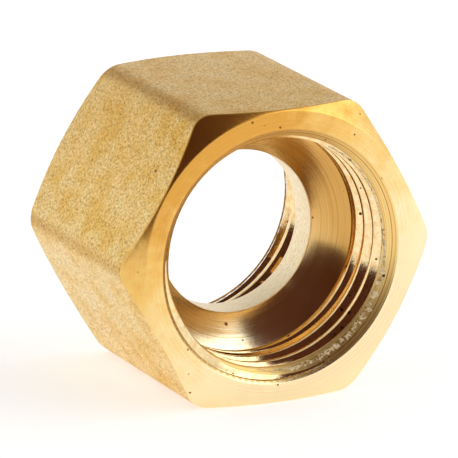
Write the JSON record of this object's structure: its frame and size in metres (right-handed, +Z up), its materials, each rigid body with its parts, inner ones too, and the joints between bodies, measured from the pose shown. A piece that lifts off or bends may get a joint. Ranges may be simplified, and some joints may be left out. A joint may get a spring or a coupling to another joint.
{
  "type": "flare fitting",
  "caption": "Female-to-female flare coupling: a hexagonal brass body with a threaded socket and a cone seat at each end, joined by a plain through bore.",
  "frame": {"origin": "middle of the flat that the fitting rests on, at mid length", "axes": "+Y along the bore, from the near mouth to the far mouth; +Z up, square to the flat it rests on; X across the corners of the hexagon"},
  "size_m": [0.0304, 0.0216, 0.027],
  "materials": {
    "brass": "blasted flats, machined ends and bore"
  },
  "bodies": {
    "root": {"coupling_body": "brass"}
  },
  "joints": []
}
